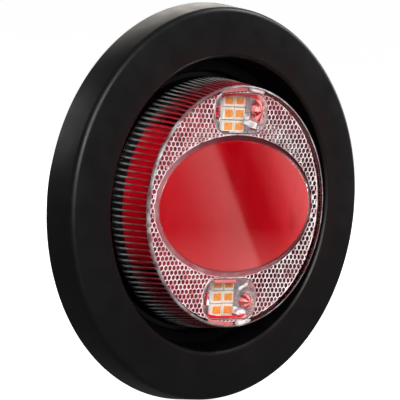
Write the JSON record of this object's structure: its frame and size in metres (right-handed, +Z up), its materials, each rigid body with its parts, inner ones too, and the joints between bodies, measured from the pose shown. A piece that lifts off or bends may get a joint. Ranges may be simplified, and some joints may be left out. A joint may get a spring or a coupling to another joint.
{
  "type": "trailer tail light",
  "caption": "Round sealed LED tail lamp with a clear fluted lens over a red oval-faced inner lens, two clear LED windows and a rear plug socket, seated in a thick rubber panel grommet.",
  "frame": {"origin": "on the lamp's axis in the plane of the panel's outer face, which is the back face of the grommet's flange", "axes": "+Z up through the upper LED window, -Y out of the front of the lamp, +Y into the panel, +X to the right seen from the front"},
  "size_m": [0.0924, 0.0334, 0.0924],
  "materials": {
    "grommet_rubber": "satin moulded black rubber",
    "housing_plastic": "satin black",
    "clear_lens": "clear, polished",
    "red_lens": "deep red, polished",
    "seal_rubber": "matt",
    "circuit_board": "white solder mask",
    "reflector": "bright metallised",
    "clear_optic": "clear, polished",
    "led_body": "white",
    "led_phosphor": "amber silicone",
    "screw_steel": "zinc plated",
    "pin_brass": "bright",
    "solder": "bright solder",
    "potting_resin": "cast resin",
    "chip_plastic": "moulded",
    "chip_ceramic": "ceramic"
  },
  "bodies": {
    "grommet": {"rubber_grommet": "grommet_rubber"},
    "lamp": {"lamp_housing": "housing_plastic", "outer_lens": "clear_lens", "red_inner_lens": "red_lens", "lens_seal": "seal_rubber", "circuit_board": "circuit_board", "reflector_upper": "reflector", "reflector_lower": "reflector", "window_optic_upper": "clear_optic", "window_optic_lower": "clear_optic", "led_packages_upper": "led_body", "led_packages_lower": "led_body", "led_emitters_upper": "led_phosphor", "led_emitters_lower": "led_phosphor", "board_screws": "screw_steel", "terminal_pin_power": "pin_brass", "terminal_pin_ground": "pin_brass", "solder_joints": "solder", "potting_compound": "potting_resin", "driver_chip": "chip_plastic", "bridge_rectifier": "chip_plastic", "surge_suppressor": "chip_plastic", "chip_resistors": "chip_ceramic", "chip_capacitors": "chip_ceramic"}
  },
  "joints": [
    {"name": "lamp_turn", "type": "hinge", "parent": "grommet", "child": "lamp", "pos_m": [0, 0, 0], "axis": [0, 1, 0], "continuous": true}
  ]
}
